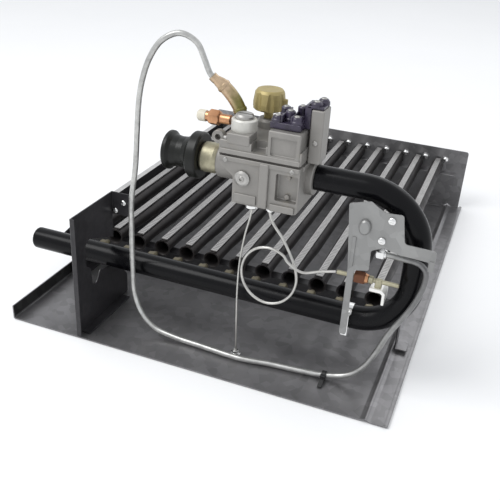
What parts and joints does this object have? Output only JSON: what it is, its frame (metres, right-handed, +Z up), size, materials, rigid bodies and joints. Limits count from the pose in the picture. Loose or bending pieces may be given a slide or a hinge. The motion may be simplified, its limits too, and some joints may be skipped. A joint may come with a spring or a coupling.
{
  "type": "gas burner tray assembly",
  "caption": "Gas burner tray with parallel ribbon burners, a bent black manifold pipe, a die-cast gas valve above it, a pilot tube, pilot bracket and thermocouple lead.",
  "frame": {"origin": "middle of the tray's underside, which is also the middle of the whole part's footprint", "axes": "+X to the right along the manifold, +Y to the rear along the burners, +Z up"},
  "size_m": [0.488, 0.615, 0.3601],
  "materials": {
    "galvanised_sheet": "satin zinc coating",
    "black_painted_sheet": "semi-matt charcoal paint",
    "black_pipe": "glossy black lacquer",
    "burner_steel": "dull aluminised steel",
    "bright_steel": "bright zinc plating",
    "cast_aluminium": "fine cast texture",
    "dark_gasket": "matt",
    "brass": "machined, slightly dull",
    "copper": "machined copper",
    "soft_aluminium": "drawn tube, satin",
    "terminal_plastic": "moulded",
    "black_plastic": "moulded",
    "tinned_lead": "tinned"
  },
  "bodies": {
    "burner_frame": {"base_tray": "galvanised_sheet", "rear_panel": "galvanised_sheet", "rear_stud_strip": "bright_steel", "left_rail": "black_painted_sheet", "front_cross_rail": "black_painted_sheet", "side_plate": "black_painted_sheet", "plate_screws": "bright_steel", "burner_01": "burner_steel", "burner_02": "burner_steel", "burner_03": "burner_steel", "burner_04": "burner_steel", "burner_05": "burner_steel", "burner_06": "burner_steel", "burner_07": "burner_steel", "burner_08": "burner_steel", "burner_09": "burner_steel", "burner_10": "burner_steel", "burner_11": "burner_steel", "burner_12": "burner_steel", "manifold_pipe": "black_pipe", "orifice_spud_01": "brass", "orifice_spud_02": "brass", "orifice_spud_03": "brass", "orifice_spud_04": "brass", "orifice_spud_05": "brass", "orifice_spud_06": "brass", "orifice_spud_07": "brass", "orifice_spud_08": "brass", "orifice_spud_09": "brass", "orifice_spud_10": "brass", "orifice_spud_11": "brass", "orifice_spud_12": "brass", "inlet_coupling": "black_pipe", "inlet_bushing": "brass", "valve_body": "cast_aluminium", "pressure_tap_plug": "bright_steel", "valve_gasket": "dark_gasket", "valve_cover": "cast_aluminium", "poppet_spring": "bright_steel", "regulator_cap": "bright_steel", "operator_housing": "cast_aluminium", "terminal_block": "terminal_plastic", "pilot_outlet_elbow": "brass", "copper_branch": "copper", "pilot_tube": "soft_aluminium", "pilot_tube_nut": "bright_steel", "tube_tie": "black_plastic", "pilot_bracket": "galvanised_sheet", "bracket_screws": "bright_steel", "manifold_strap": "bright_steel", "pilot_burner": "brass", "copper_nut": "copper", "thermocouple_lead": "tinned_lead", "thermocouple_nut": "bright_steel", "earth_wire": "tinned_lead", "earth_screw": "bright_steel", "earth_lug": "bright_steel"},
    "cock_knob": {"manual_knob": "brass"},
    "poppet": {"main_valve_poppet": "bright_steel"},
    "plunger": {"operator_plunger": "bright_steel"}
  },
  "joints": [
    {"name": "knob_turn", "type": "hinge", "parent": "burner_frame", "child": "cock_knob", "pos_m": [0.045, -0.208, 0.265], "axis": [0, 0, 1], "range_deg": [0, 110]},
    {"name": "poppet_lift", "type": "slide", "parent": "burner_frame", "child": "poppet", "axis": [0, 0, 1], "range_m": [0, 0.004], "stiffness_N_per_m": 300, "springref_m": -0.004, "deforming": ["poppet_spring"]},
    {"name": "plunger_lift", "type": "slide", "parent": "burner_frame", "child": "plunger", "axis": [0, 0, 1], "range_m": [0, 0.006]}
  ]
}
